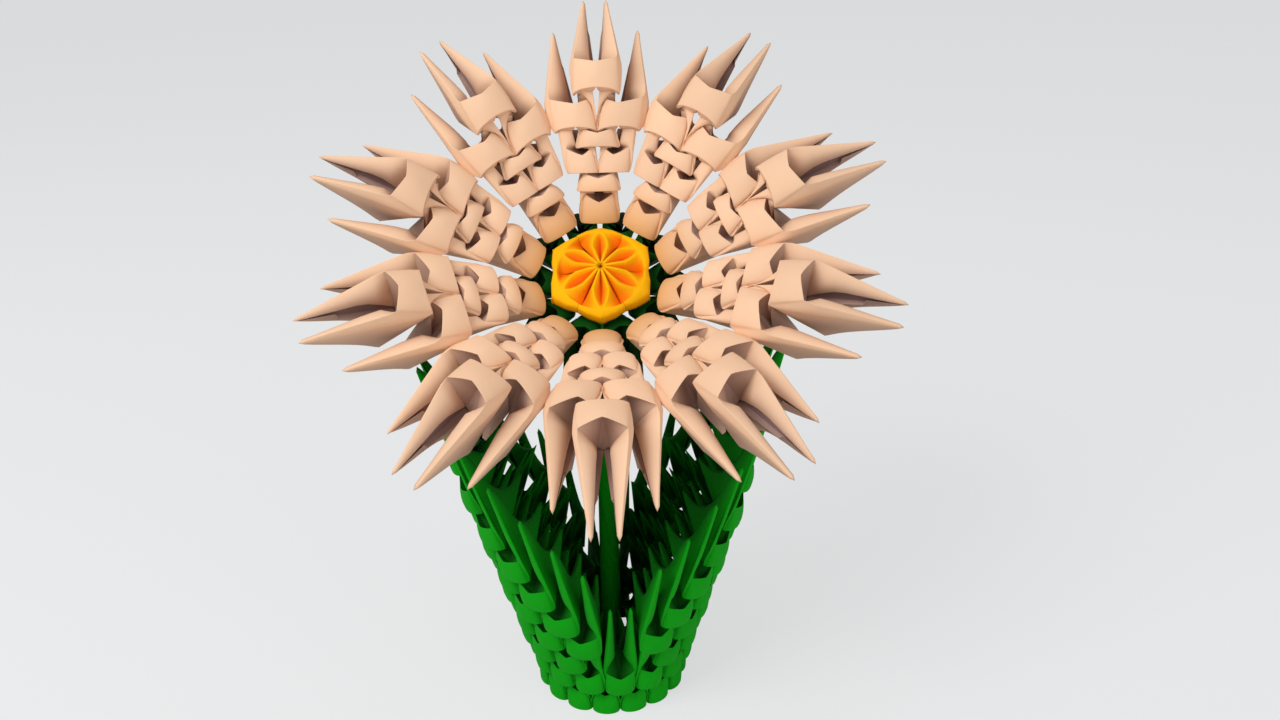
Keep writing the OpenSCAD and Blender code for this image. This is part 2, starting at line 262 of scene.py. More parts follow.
# Slit of a horn: its front edge from the valley (aside in widths), its depth and its half width
SLIT_ASIDE, SLIT_FORWARD, SLIT_DOWN = 0.11, 0.9, 0.3
SLIT_DEEP, SLIT_HALF, SLIT_END = 1.5, 0.25, 0.4
# The back layer of a horn ends at a step, and the front layer comes forward from the slit
SLIT_STEP, STEP_HALF, LAYER_CUT = 0.6, 0.01, 0.65
LAYER_FORWARD, LAYER_H, LAYER_INSIDE = 0.5, 0.3, 0.7
# How soon a horn flares and rounds, how much of the flare its neck takes, and how round its faces are
FLARE_H, NECK_FLARE, ROUND_H = 0.1, 0.6, 0.15
FRONT_ROUND, SIDE_ROUND, HOLLOW_POWER = 0.2, 0.1, 0.7
BELOW_STEP, ABOVE_STEP = SLIT_STEP - STEP_HALF, SLIT_STEP + STEP_HALF
HEIGHTS = (0, 0.03, 0.08, 0.15, 0.25, 0.37, 0.49, BELOW_STEP, ABOVE_STEP, 0.72, 0.84, 0.95, 1)

# For each edge of a horn's section, from the neck round: its inner points and its fold depths of painted
# shade, above one at the slit to paint it as a dark line of shadow
HORN_INNER = (3, 2, 0, 2, 0, 0, 0, 5)
HORN_DEPTHS = ((0, 0), (0, 0.8), (0.8, 0.8), (0.8, 0.9), (0.9, 1.2), (1.6, 1.6), (1.6, 1.2), (0.6, 0))
# Fold depths of the other faces, from none on a face to one down in a fold, which set their painted shade
FACE_DEPTH, HOLLOW_DEPTHS, KEEL_DEPTH, TIP_DEPTH = 0.0, (0.45, 1.15), 1.0, 0.1
LIP_DEPTH, UNDER_DEPTH, POCKET_DEPTH = 0.3, 0.6, 1.0
MIRROR = vec(-1, 1, 1)


class HalfUnit:
    """One half of a folded unit: half a band with its hollow, one horn and one pocket.

    Its corners are those of a right half. A left half is mirrored when its patches are laid.
    """

    def __init__(self, paper, pose, side, w, end, rise, band, lean, fan):
        self.paper, self.pose, self.side, self.w = paper, pose, side, w
        self.rise, self.fan = rise, fan
        self.mirror = MIRROR if side < 0 else 1
        self.ends = [c * self.mirror for c in end.corners]
        self.swell, self.tip = end.swell * self.mirror, end.tip * self.mirror
        self.flare, self.hollow = end.flare * w, end.hollow

        self.flank = fanned(fan, FLANK[0] * w - UNIT_GAP / 2, FLANK[1] * w, 0)
        self.back_out = fanned(fan, HORN * w + WING_T / 2, UNIT_DEPTH, rise)
        self.back_in = fanned(fan, HORN * w - WING_T / 2, UNIT_DEPTH, rise)
        self.keel = vec(0, HOLLOW_FOOT[0] * KEEL_T, HOLLOW_FOOT[1] * KEEL_T)
        self.valley = vec(0, HOLLOW_BACK * UNIT_DEPTH, HOLLOW_BACK * rise)
        self.slit_front = self.valley + vec(SLIT_ASIDE * w, -SLIT_FORWARD, -SLIT_DOWN)

        neck_foot, neck_z = fanned(fan, NECK_FOOT[0] * w, NECK_FOOT[1] * w, 0), NECK_RISE * band
        neck = lerp(neck_foot, self.tip, neck_z / self.tip[2])
        neck_y = min(neck[1], lean + NECK_BACK * w)
        self.neck = vec(neck[0] + NECK_FLARE * self.flare, neck_y, neck_z)
        line_y = lean + (neck_y - lean) * SINES**NECK_BACK_POWER
        line_z = band + (neck_z - band) * SINES**NECK_RISE_POWER
        self.line = np.stack([self.neck[0] * SINES, line_y, line_z], 1)
        self.rim = np.stack([self.flank[0] * SINES, self.flank[1] * (1 - COSINES), 0 * SINES], 1)

    def put(self, grid, depth, flip=False, closed=False):
        self.paper.patch(place(self.pose, grid * self.mirror), depth, flip != (self.side < 0), closed)

    def lay_band(self):
        """From the rim's arc up to the neckline, swelling a little."""
        spans = zip(self.rim, self.line, BAND_OUT)
        rows = [edge(low, high, BAND_INNER, out) for low, high, out in spans]
        self.put(np.array(rows), FACE_DEPTH)

    def lay_hollow(self):
        """Two flat facets behind the neckline that meet at the keel, and a narrow one along the keel."""
        below = sheet(self.line, repeated(self.keel, len(self.line)), inner=1)
        self.put(below, np.linspace(*HOLLOW_DEPTHS, below.shape[1])[None])
        crease = edge(self.keel, self.slit_front, inner=1)
        beside = sheet(repeated(self.neck, len(crease)), crease, inner=3)
        self.put(beside, np.linspace(*HOLLOW_DEPTHS, beside.shape[1])[None])
        self.put(sheet(edge(self.keel, self.slit_front), edge(self.keel, self.valley)), KEEL_DEPTH)

    def lay_horn(self):
        """Sections from the body to the end, with the slit between its front and its back layers."""
        inside, apart = vec(SLIT_DEEP, 0, 0), vec(0, SLIT_HALF, 0)
        base = [self.neck, self.flank, self.back_out, self.back_in, self.valley]
        base += [self.valley + inside - apart, self.slit_front + inside + apart, self.slit_front]
        _, flank_end, _, _, slit_end = self.ends
        slit_deep_end = slit_end + (flank_end - slit_end) * SLIT_END
        ends = [*self.ends, slit_deep_end, slit_deep_end, slit_end]
        rings = np.array([self.section(base, ends, h) for h in HEIGHTS])
        # Each edge has its first corner and two near points besides its inner points
        depths = [np.linspace(*depth, inner + 3) for inner, depth in zip(HORN_INNER, HORN_DEPTHS)]
        self.put(rings, np.concatenate(depths)[None], flip=True, closed=True)
        cap = np.array([rings[-1], repeated(self.tip, rings.shape[1])])
        self.put(cap, TIP_DEPTH, flip=True, closed=True)

    def section(self, base, ends, h):
        """The outline of the horn at one share of its height."""
        at = [lerp(a, b, h) for a, b in zip(base, ends)]
        neck, flank, back_out, back_in, back_layer, slit_back, slit_inside, front_layer = at
        forward = LAYER_FORWARD * min(h / LAYER_H, 1) * min(neck[1] - front_layer[1], 0)
        slit_inside = slit_inside + vec(0, forward * LAYER_INSIDE, 0)
        front_layer = front_layer + vec(0, forward, 0)
        if h > SLIT_STEP:
            back_layer = lerp(back_layer, front_layer, LAYER_CUT)

        hollowed = (flank - back_out) * self.hollow * math.sin(math.pi * h) ** HOLLOW_POWER
        back_out, back_in = back_out + hollowed, back_in + hollowed
        grown = vec(min(h / FLARE_H, 1) * (1 - h) * self.flare, 0, 0)
        neck, flank, back_out = neck + grown * (1 - NECK_FLARE), flank + grown, back_out + grown / 2

        risen = min(h / ROUND_H, 1)
        face = np.cross(neck - front_layer, self.tip - base[-1])
        front_swell = FRONT_ROUND * risen * face / np.linalg.norm(face) * np.linalg.norm(neck - front_layer)
        side_swell = self.swell * h + vec(SIDE_ROUND * risen * np.linalg.norm(flank - neck), 0, 0)
        at = [neck, flank, back_out, back_in, back_layer, slit_back, slit_inside, front_layer]
        swells = [side_swell] + [None] * 6 + [front_swell]
        spans = zip(at, at[1:] + at[:1], HORN_INNER, swells)
        return np.concatenate([edge(*span)[:-1] for span in spans])

    def lay_underside(self):
        """The lip round the pocket's mouth, and the pocket."""
        w, fan = self.w, self.fan
        mouth_in = fanned(fan, MOUTH_IN[0] * w, MOUTH_IN[1] * w, 0)
        mouth_out = fanned(fan, MOUTH_OUT[0] * w, MOUTH_OUT[1] * w, 0)
        mouth_side = fanned(fan, MOUTH_SIDE * w, FLANK[1] * w + UNIT_GAP, 0)
        mouth_back = fanned(fan, HORN * w, MOUTH_BACK * UNIT_DEPTH, MOUTH_BACK * self.rise)
        pocket = fanned(fan, HORN * w, POCKET_BACK * w, POCKET_H)

        half = len(self.rim) // 2 + 1
        front = [np.linspace(mouth_in, mouth_out, half), np.linspace(mouth_out, mouth_side, half)[1:]]
        lip = np.concatenate(front)
        outer, inner = edge(self.flank, self.back_out, inner=2), edge(self.back_in, self.valley, inner=2)
        back, under = edge(self.back_out, self.back_in), edge(self.valley, self.rim[0], inner=2)
        for border, mouth, depth in (
            (self.rim, lip, LIP_DEPTH),
            (outer, np.linspace(mouth_side, mouth_back, len(outer)), LIP_DEPTH),
            (back, repeated(mouth_back, len(back)), LIP_DEPTH),
            (inner, np.linspace(mouth_back, mouth_in, len(inner)), UNDER_DEPTH),
            (under, repeated(mouth_in, len(under)), UNDER_DEPTH),
        ):
            self.put(sheet(border, mouth), depth, flip=True)
        sides = [np.linspace(a, b, num=4)[1:] for a, b in ((mouth_side, mouth_back), (mouth_back, mouth_in))]
        mouth = np.concatenate([lip, *sides])
        self.put(np.array([mouth, repeated(pocket, len(mouth))]), POCKET_DEPTH, flip=True)


def folded_unit(pose, w, ends, drop=0, band=BAND_H, lean=NECK_LEAN, fan=NO_FAN):
    """Points, fold depths and faces of one unit, with the ends of its left and right horns given."""
    paper = Paper()
    for side in (-1, 1):
        half = HalfUnit(paper, pose, side, w, ends[side], UNIT_DEPTH - drop, band, lean, fan)
        half.lay_band()
        half.lay_hollow()
        half.lay_horn()
        half.lay_underside()
    return paper.merged()


# Petals
def row_rim(row):
    if row == 0:
        return vec(PETAL_R, PETAL_Z)
    return row_rim(row - 1) + ROW_PITCHES[row] * vec(cos_d(ROW_STEPS[row]), sin_d(ROW_STEPS[row]))


def petal_azimuth(petal):
    return FIRST_TURN + petal * 360 / PETALS


def petal_pose(petal, row, at):
    return inward_pose(petal_azimuth(petal), at * ROW_WIDTHS[row] / 2, row_rim(row), ROW_ANGLES[row])


def petal_host(row, at, side):
    """The row, the place in it and the side of the pocket that takes a horn, or None for a free horn."""
    if row == 0:
        return 1, 0, side
    if row == 1:
        return 2, side, -side
    if row == 2:
        return (4, at, at) if side == at else (3, 0, at)
    if row == 3:
        return 4, side, -side
    return (5, 0, at) if row == 4 and side != at else None


def petal_end(petal, row, at, side):
    host = petal_host(row, at, side)
    if host is None:
        tip = free_tip(ROW_WIDTHS[row], side, NO_FAN) + vec(at * OUTER_SPREAD, 0, 0)
        return free_end(tip, side, OUTER_FLARE if at else TIP_FLARE, PETAL_HOLLOW)
    host_row, host_at, host_side = host
    own_pose, host_pose = petal_pose(petal, row, at), petal_pose(petal, host_row, host_at)
    return seated_end(own_pose, host_pose, ROW_WIDTHS[host_row], host_side, NO_FAN, host_side != side)


def petal_band(row):
    """A band stays below the pockets of the row above."""
    if row + 1 == len(ROW_PITCHES):
        return BAND_H
    return min(BAND_H, BAND_SHARE * ROW_PITCHES[row + 1])


def petal_units(petal, rows):
    for row in rows:
        sizes = {"drop": ROW_DROPS[row], "band": petal_band(row), "lean": ROW_LEANS[row]}
        for at in (-1, 1) if row in PAIR_ROWS else (0,):
            ends = {side: petal_end(petal, row, at, side) for side in (-1, 1)}
            yield folded_unit(petal_pose(petal, row, at), ROW_WIDTHS[row], ends, **sizes)


# Calyx: a ring of units between the petals, whose horns hold their first row
def calyx_units():
    rim = row_rim(0) - CALYX_PITCH * vec(cos_d(CALYX_ANGLE), sin_d(CALYX_ANGLE))
    for k in range(PETALS):
        pose = inward_pose(petal_azimuth(k + 0.5), 0, rim, CALYX_ANGLE)
        ends = {}
        for side, petal in ((-1, k + 1), (1, k)):
            host_pose = petal_pose(petal, 0, 0)
            ends[side] = seated_end(pose, host_pose, ROW_WIDTHS[0], -side, NO_FAN, crossed=True)
        yield folded_unit(pose, CALYX_W, ends, drop=CALYX_DROP, band=BAND_SHARE * CALYX_PITCH)


# Yellow centre: the dome that its ribs lie on, its lens-shaped hollows and the gaps between units
CENTRE_N, HUB_Z, DOME_FALL = 6, 7.6, 0.021
RIB_HALF, RIB_PLAY, RIB_REACH = 0.24, 0.06, 0.6
LENS_HALF, LENS_POWER, LENS_DEEP, GAP_DEEP = 1.45, 0.8, 2.3, 2.4
# Radii from the hub out, with the share of a lens's and of a gap's depth at each
FACE_RS = (0.5, 1.1, 2.0, 3.0, 4.2, 5.4, 6.6, 7.6, 8.4, 8.9, 9.25)
LENS_SHARES = (0.1, 0.3, 0.6, 0.85, 1.0, 1.0, 0.85, 0.6, 0.2, 0.0, 0.0)
GAP_SHARES = (0.05, 0.15, 0.35, 0.55, 0.75, 0.9, 1.0, 1.0, 0.9, 0.6, 0.0)
# Across one unit: its seam, a gap, a rib, the lens, a rib, a gap and its other seam
LENS_ACROSS = np.array([0, 0, 0, 0, 0.55, 1, 0.55, 0, 0, 0, 0])
GAP_ACROSS = np.array([1, 0.5, 0, 0, 0, 0, 0, 0, 0, 0.5, 1])
CORNER_ACROSS = np.array([0, 0.35, 0.8, 0.85, 0.9, 1, 0.9, 0.85, 0.8, 0.35, 0])
# Outer wall, with its steps out to the corner and down to the flap, and the underside
BALL_R, UNIT_CORNER, FLAP_Z, FLAP_DROP = 10.1, 1.3, 3.1, 1.3
WALL_STEPS = ((0.2, 0.01), (0.8, 0.1), (1.0, 0.3), (1.02, 0.7), (0.95, 1.0))
FLAP_T, FLAP_LIP, UNDER_R, UNDER_Z, HUB_UNDER_Z = 0.6, 0.1, 6.0, 2.7, 3.2
# Unevenness of the folding
CORNER_RANGE, FLAP_RANGE, LENS_RANGE, LIFT_RANGE = (0.5, 1.6), (0.6, 1), (0.85, 1.1), (-0.2, 0.4)
# How quickly the painted shade of a hollow comes in, how deep a gap's painted shade goes, and the painted
# shade of hidden sides
SHADE_POWER, GAP_POWER, GAP_DEPTH, SEAM_DEPTH = 0.4, 0.5, 0.75, 0.9


def sector_turns(r):
    """Angles across one unit of the centre at a radius."""
    reach = (min(r, FACE_RS[-1]) - FACE_RS[0]) / (FACE_RS[-1] - FACE_RS[0])
    lens = LENS_HALF * math.sin(math.pi * reach) ** LENS_POWER + RIB_HALF + RIB_PLAY
    half = math.degrees(RIB_HALF / r)
    seam = 180 / CENTRE_N - math.degrees(UNIT_GAP / 2 / r)
    rib = min(math.degrees(lens / r), RIB_REACH * seam)
    side = [(rib - half) / 2, rib - half, rib + half, (rib + half + seam) / 2, seam]
    return np.array([-a for a in side[::-1]] + [0] + side)


def centre_rows():
    """Radii, heights and fold depths across one unit, from the hub out over the face and back below."""
    corner, drop = UNIT_CORNER * rng.uniform(*CORNER_RANGE), FLAP_DROP * rng.uniform(*FLAP_RANGE)
    lens, lift = LENS_DEEP * rng.uniform(*LENS_RANGE), rng.uniform(*LIFT_RANGE)
    flat = np.ones(len(CORNER_ACROSS))
    face = []
    for r, lens_share, gap_share in zip(FACE_RS, LENS_SHARES, GAP_SHARES):
        z = HUB_Z + lift * r / BALL_R - DOME_FALL * r * r
        z = z - lens * lens_share * LENS_ACROSS - GAP_DEEP * gap_share * GAP_ACROSS
        # Painted shade, orange-red with painted bounce light on the yellow, in the lens and in the gaps
        # between units
        gap_shade = GAP_DEPTH * GAP_ACROSS**GAP_POWER * gap_share**SHADE_POWER
        face.append((r * flat, z, np.maximum(LENS_ACROSS * lens_share**SHADE_POWER, gap_shade)))
    out, low = BALL_R + corner * CORNER_ACROSS, FLAP_Z - drop * CORNER_ACROSS
    brow = HUB_Z + lift - DOME_FALL * FACE_RS[-1] ** 2
    for share, fall in WALL_STEPS:
        face.append((lerp(FACE_RS[-1], out, share), lerp(brow, low, fall), 0 * flat))
    below = [(out - FLAP_T, low + FLAP_LIP, UNDER_DEPTH * flat)]
    below += [(r * flat, z * flat, flat) for r, z in ((UNDER_R, UNDER_Z), (FACE_RS[0], HUB_UNDER_Z))]
    return face, below


def centre_units(k):
    """One unit of the centre, a sector of a low ball. Its horns are ribs that part round a lens-shaped
    hollow and meet again at the hub. Between two units lies a wider hollow."""
    face, below = centre_rows()
    grid = []
    for r, z, _ in face + below:
        turns = np.array([sector_turns(x)[j] for j, x in enumerate(r)])
        angle = np.radians(FIRST_TURN + k * 360 / CENTRE_N + turns)
        grid.append(np.stack([r * np.cos(angle), r * np.sin(angle), z], 1))
    grid, depths = np.array(grid), np.array([depth for *_, depth in face + below])
    paper = Paper()
    paper.patch(grid, depths)
    paper.patch(np.stack([grid[0], grid[-1]]), SEAM_DEPTH, flip=True)
    for column, flip in ((0, True), (-1, False)):
        upper, lower = grid[: len(face), column], grid[len(face) :, column][::-1]
        lower = np.concatenate([lower, repeated(lower[-1], len(upper) - len(lower))])
        paper.patch(np.stack([upper, lower], 1), SEAM_DEPTH, flip)
    yield paper.merged()


# Vase
def vase_lean(row):
    return VASE_LEANS[min(row, len(VASE_LEANS) - 1)]


def vase_rim(row):
    if row == 0:
        return vec(VASE_R, 0)
    return vase_rim(row - 1) + VASE_PITCH * vec(sin_d(vase_lean(row)), cos_d(vase_lean(row)))


def vase_w(row):
    return min(2 * math.pi / VASE_N * vase_rim(row)[0], VASE_W_MAX)


def vase_fan(row):
    return vec(sin_d(vase_lean(row)), cos_d(vase_lean(row))) / vase_rim(row)[0]


def vase_pose(leaf, row, column):
    azimuth = GAP_TURN + (0 if leaf > 0 else 180) + column * 360 / VASE_N
    return outward_pose(azimuth, vase_rim(row), sin_d(vase_lean(row)), cos_d(vase_lean(row)))


def leaf_count(row):
    """Units in one row of a leaf, which is widest in its second row and then narrows by one a row."""
    return LEAF_COLUMNS - 1 if row == RING_ROWS else LEAF_COLUMNS - (row - RING_ROWS - 1)


def leaf_half(row):
    return (leaf_count(row) - 1) / 2


def vase_end(leaf, row, column, side):
    """A horn's end in a pocket of the next row, or at a leaf's edge of the row after it, or free."""
    above = row + 1
    if above < VASE_ROWS and (above < RING_ROWS or abs(column + side / 2) <= leaf_half(above)):
        host, host_column, host_side = above, column + side / 2, -side
    elif row == RING_ROWS - 1 and abs(column) < LEAF_COLUMNS / 2:
        host, host_column, host_side = row + 2, column, side
    else:
        tip = free_tip(vase_w(row), side, vase_fan(row))
        return free_end(tip, side, VASE_FLARE, VASE_HOLLOW)
    own_pose, host_pose = vase_pose(leaf, row, column), vase_pose(leaf, host, host_column)
    return seated_end(own_pose, host_pose, vase_w(host), host_side, vase_fan(host), host_side != side)


def vase_unit(leaf, row, column):
    ends = {side: vase_end(leaf, row, column, side) for side in (-1, 1)}
    return folded_unit(vase_pose(leaf, row, column), vase_w(row), ends, fan=vase_fan(row))


def ring_units(row):
    """A full ring, half of it counted from the middle of each leaf. Rows lie half a column apart."""
    start = 1 - VASE_N / 4 - (0 if row % 2 else 0.5)
    for leaf in (-1, 1):
        for k in range(VASE_N // 2):
            yield vase_unit(leaf, row, k + start)


def leaf_units(leaf, row):
    for k in range(leaf_count(row)):
        yield vase_unit(leaf, row, k - leaf_half(row))


# Stem: a rolled tube whose free edge winds up it, and a cup wrapped over its top
TUBE_STEPS, BEND_STEPS, CUP_STEPS, ROUND_STEPS = 60, 24, 14, 40
TUBE_EDGE, TUBE_TURNS, CUP_EDGE, CUP_TURNS = 0.22, 1.6, 0.3, 0
# The caps of the ends: how far in their first ring lies, and the fold depth that sets their painted shade
CAP_SHARE, CAP_DEPTH = 0.12, 0.4


def stem_lines():
    """Points along the tube and along the cup, each with its bend, and the sideways direction at a bend."""
    meet = vec(0, HEAD_BACK + STEM_MEET * sin_d(HEAD_LEAN), HEAD_Z - STEM_MEET * cos_d(HEAD_LEAN))
    ring_back = VASE_R - UNIT_DEPTH - STEM_R - STEM_PLAY
    lean = math.degrees(math.atan2(meet[1] - ring_back, meet[2] - UNIT_DEPTH))
    foot_back = ring_back - (UNIT_DEPTH - STEM_FOOT_Z) * math.tan(math.radians(lean))
    foot = vec(0, foot_back, STEM_FOOT_Z)
    bend = HEAD_LEAN + lean
    reach = STEM_BEND_R * math.tan(math.radians(bend / 2))
    straight = (meet[2] - STEM_FOOT_Z) / cos_d(lean) - reach

    def along(a):
        return vec(0, -sin_d(a - lean), cos_d(a - lean))

    def aside(a):
        return vec(0, cos_d(a - lean), sin_d(a - lean))

    middle = foot + along(0) * straight - aside(0) * STEM_BEND_R
    tube = [(foot + along(0) * s, 0) for s in np.linspace(0, straight, TUBE_STEPS)]
    tube += [(middle + aside(a) * STEM_BEND_R, a) for a in np.linspace(0, bend, BEND_STEPS)[1:]]
    cup_foot, cup_h = middle + aside(bend) * STEM_BEND_R, STEM_MEET - reach + CUP_RISE
    cup = [(cup_foot + along(bend) * s, bend) for s in np.linspace(0, cup_h, CUP_STEPS)]
    return tube, cup, aside


def rolled_tube(line, aside, radii, lap, turns):
    """Rings along a line, each a roll of paper whose lapping edge stands out by the lap."""
    rings = []
    for i, ((p, a), r) in enumerate(zip(line, radii)):
        t = np.linspace(0, 1, ROUND_STEPS + 1)
        angle = 2 * math.pi * (t + turns * i / len(line))
        out = np.outer(np.cos(angle), aside(a)) + np.outer(np.sin(angle), vec(1, 0, 0))
        rings.append(p + out * (r - lap * (1 - t))[:, None])
    return np.array(rings)


def stem_units():
    tube, cup, aside = stem_lines()
    paper = Paper()
    for line, radii, lap, turns in (
        (tube, np.full(len(tube), STEM_R), TUBE_EDGE, TUBE_TURNS),
        (cup, np.linspace(CUP_FOOT_R, CUP_R, len(cup)), CUP_EDGE, CUP_TURNS),
    ):
        rings = rolled_tube(line, aside, radii, lap, turns)
        paper.patch(rings, FACE_DEPTH, flip=True, closed=True)
        for ring, (p, _), flip in ((rings[0], line[0], False), (rings[-1], line[-1], True)):
            middle = repeated(p, len(ring))
            cap = np.array([ring, lerp(ring, middle, CAP_SHARE), middle])
            paper.patch(cap, CAP_DEPTH, flip, closed=True)
    yield paper.merged()


# Materials
def linear(hex_colour):
    """An sRGB colour in hex digits as linear light, opaque."""
    parts = [int(hex_colour[i : i + 2], 16) / 255 for i in (1, 3, 5)]
    return [c / 12.92 if c <= 0.04045 else ((c + 0.055) / 1.055) ** 2.4 for c in parts] + [1.0]


def node(tree, kind, settings=None, links=None):
    """One shader node, with its settings and the outputs that feed it."""
    made = tree.nodes.new("ShaderNode" + kind)
    for name, value in (settings or {}).items():
        if isinstance(name, int) or name in made.inputs:
            made.inputs[name].default_value = value
        else:
            setattr(made, name, value)
    for name, source in (links or {}).items():
        tree.links.new(source, made.inputs[name])
    return made


# Paper: its fibres and clouds in millimetres, how far its shade and roughness vary, and its gloss
FIBRE_MM, CLOUD_MM, FIBRE_HIGH = 0.5, 6.0, 0.06
TONE_SHARE, CLOUD_SHARE, ROUGH_SPREAD = 0.05, 0.02, 0.06
PAPER_IOR, PAPER_SPECULAR = 1.45, 0.16
# Colour of the painted bounce light that the yellow centre throws on the petals
GOLD_BOUNCE = "#D8942A"


def folded_paper(name, sheet_hex, fold_shade_hex, fold_shade_share, rough, gold_bounce_share=0.0):
    """Uncoated paper, cut and creased by hand: matt, a little fibrous, each strip a shade of its own,
    darker with painted shade down in the folds, warmer there for the yellow with painted bounce light
    passed from sheet to sheet, and on the petals golden with painted bounce light from the yellow centre."""
    made = bpy.data.materials.new(name)
    made.use_nodes = True
    tree = made.node_tree
    shader = tree.nodes["Principled BSDF"]
    where = node(tree, "TexCoord").outputs["Object"]
    # Fibres, drawn coarser than real ones so that they show, and larger clouds in the sheet
    grain = {"Scale": 1 / (FIBRE_MM * MM), "Detail": 4.0, "Roughness": 0.6}
    fibre = node(tree, "TexNoise", grain, {"Vector": where}).outputs["Fac"]
    blotch = {"Scale": 1 / (CLOUD_MM * MM), "Detail": 2.0}
    cloud = node(tree, "TexNoise", blotch, {"Vector": where}).outputs["Fac"]

    # Colour: the sheet, darker with painted shade in the folds and golden with painted bounce light near the
    # centre
    # Painted shade: the fold colour comes in with each point's fold depth
    deep = node(tree, "Attribute", {"attribute_name": "fold_shade"}).outputs["Fac"]
    share = node(tree, "Math", {"operation": "MULTIPLY", 1: fold_shade_share}, {0: deep}).outputs[0]
    colours = {"data_type": "RGBA", 6: linear(sheet_hex), 7: linear(fold_shade_hex)}
    tinted = node(tree, "Mix", colours, {0: share}).outputs[2]
    # Painted bounce light: gold thrown by the yellow centre, stronger nearer its axis
    if gold_bounce_share:
        gold = node(tree, "Attribute", {"attribute_name": "yellow_bounce"}).outputs["Fac"]
        gold = node(tree, "Math", {"operation": "MULTIPLY", 1: gold_bounce_share}, {0: gold}).outputs[0]
        tint = {"data_type": "RGBA", 7: linear(GOLD_BOUNCE)}
        tinted = node(tree, "Mix", tint, {0: gold, 6: tinted}).outputs[2]

    # Shade: a tone for each strip, and the clouds very faintly
    tone = node(tree, "Attribute", {"attribute_name": "strip_tone"}).outputs["Fac"]
    level = {"operation": "MULTIPLY_ADD", 1: TONE_SHARE, 2: 1.0}
    level = node(tree, "Math", level, {0: tone}).outputs[0]
    clouded = node(tree, "MapRange", {"To Min": -CLOUD_SHARE, "To Max": CLOUD_SHARE}, {0: cloud}).outputs[0]
    level = node(tree, "Math", {"operation": "ADD"}, {0: level, 1: clouded}).outputs[0]
    shaded = node(tree, "HueSaturation", {}, {"Color": tinted, "Value": level}).outputs[0]
    tree.links.new(shaded, shader.inputs["Base Color"])

    # Surface: the fibres make it uneven to the touch and to the light
    spread = {"To Min": rough - ROUGH_SPREAD, "To Max": rough + ROUGH_SPREAD}
    tree.links.new(node(tree, "MapRange", spread, {0: fibre}).outputs[0], shader.inputs["Roughness"])
    bump = node(tree, "Bump", {"Strength": 0.12, "Distance": FIBRE_HIGH * MM}, {"Height": fibre})
    tree.links.new(bump.outputs[0], shader.inputs["Normal"])
    shader.inputs["IOR"].default_value = PAPER_IOR
    shader.inputs["Specular IOR Level"].default_value = PAPER_SPECULAR
    return made


# Each paper's second colour is the painted shade down in its folds
white_paper = folded_paper(
    "white_paper_strips_folded", "#EDC4A2", "#9A7D7A", fold_shade_share=0.68, rough=0.8, gold_bounce_share=0.7
)
# The yellow's orange-red fold colour is painted bounce light between its sheets, with painted shade
yellow_paper = folded_paper(
    "yellow_paper_strips_folded", "#FBB400", "#F03C00", fold_shade_share=0.9, rough=0.75
)
green_paper = folded_paper(
    "green_paper_strips_folded", "#019608", "#013A05", fold_shade_share=0.85, rough=0.78
)
# The calyx's green, darkened to stand for the shade it lies in: painted shade
green_paper_painted_shade = folded_paper(
    "green_paper_painted_shade_strips_folded", "#04480A", "#012004", fold_shade_share=0.85, rough=0.78
)


# Pieces: one mesh for each node, on the head or on the vase
head_turn = np.array(Matrix.Rotation(math.radians(HEAD_LEAN), 3, "X"))
head_place = (vec(0, HEAD_BACK, HEAD_Z), head_turn.T)
# Petals take a painted golden bounce light from the yellow centre, within this radius of its axis
GOLD_BOUNCE_R, GOLD_BOUNCE_FADE = 21.0, 9.0
FACET_WEIGHT = 100


def piece(name, units, material, on_head=False):
    """One mesh for a CAD node, made of its folded units."""
    points, depths, tones, gold_bounces, faces, count = [], [], [], [], [], 0
    for unit_points, unit_depths, unit_faces in units:
        points.append(place(head_place, unit_points) if on_head else unit_points)
        depths.append(unit_depths)
        # Painted bounce light from the yellow centre, fading out from its axis
        from_axis = np.hypot(unit_points[:, 0], unit_points[:, 1])
        gold_bounces.append(np.clip((GOLD_BOUNCE_R - from_axis) / GOLD_BOUNCE_FADE, 0, 1) * on_head)
        tones.append(np.full(len(unit_points), rng.uniform(-1, 1)))
        faces += [[count + v for v in face] for face in unit_faces]
        count += len(unit_points)
    mesh = bpy.data.meshes.new(name)
    mesh.from_pydata((np.concatenate(points) * MM).tolist(), [], faces)
    for attribute, values in (("fold_shade", depths), ("strip_tone", tones), ("yellow_bounce", gold_bounces)):
        layer = mesh.attributes.new(attribute, "FLOAT", "POINT")
        layer.data.foreach_set("value", np.concatenate(values).astype(np.float32))
    mesh.shade_smooth()
    mesh.materials.append(material)
    made = bpy.data.objects.new("paper_" + name, mesh)
    bpy.context.scene.collection.objects.link(made)
    normals = made.modifiers.new("flat_facets", "WEIGHTED_NORMAL")
    normals.weight = FACET_WEIGHT
    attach(made, "root")
    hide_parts(name)
    return made


for number in range(1, PETALS + 1):
    for part, rows in (("base", (0, 1)), ("body", (2, 3)), ("tip", (4, 5))):
        units = petal_units(number - 1, rows)
        piece(f"petal_{number}_{part}", units, white_paper, on_head=True)
piece("calyx_ring", calyx_units(), green_paper_painted_shade, on_head=True)
for number in range(1, CENTRE_N + 1):
    units = centre_units(number - 1)
    piece(f"centre_unit_{number}", units, yellow_paper, on_head=True)
piece("stem", stem_units(), green_paper)
for row in range(RING_ROWS):
    piece(f"vase_ring_{row + 1}", ring_units(row), green_paper)
for leaf, side_name in ((-1, "left"), (1, "right")):
    for row in range(RING_ROWS, VASE_ROWS):
        name = f"{side_name}_leaf_row_{row - RING_ROWS + 1}"
        piece(name, leaf_units(leaf, row), green_paper)


# Table
TABLE_HALF, GLOW_SHARE = 4.0, 0.7
TABLE_CORNERS = ((-1, -1), (1, -1), (1, 1), (-1, 1))


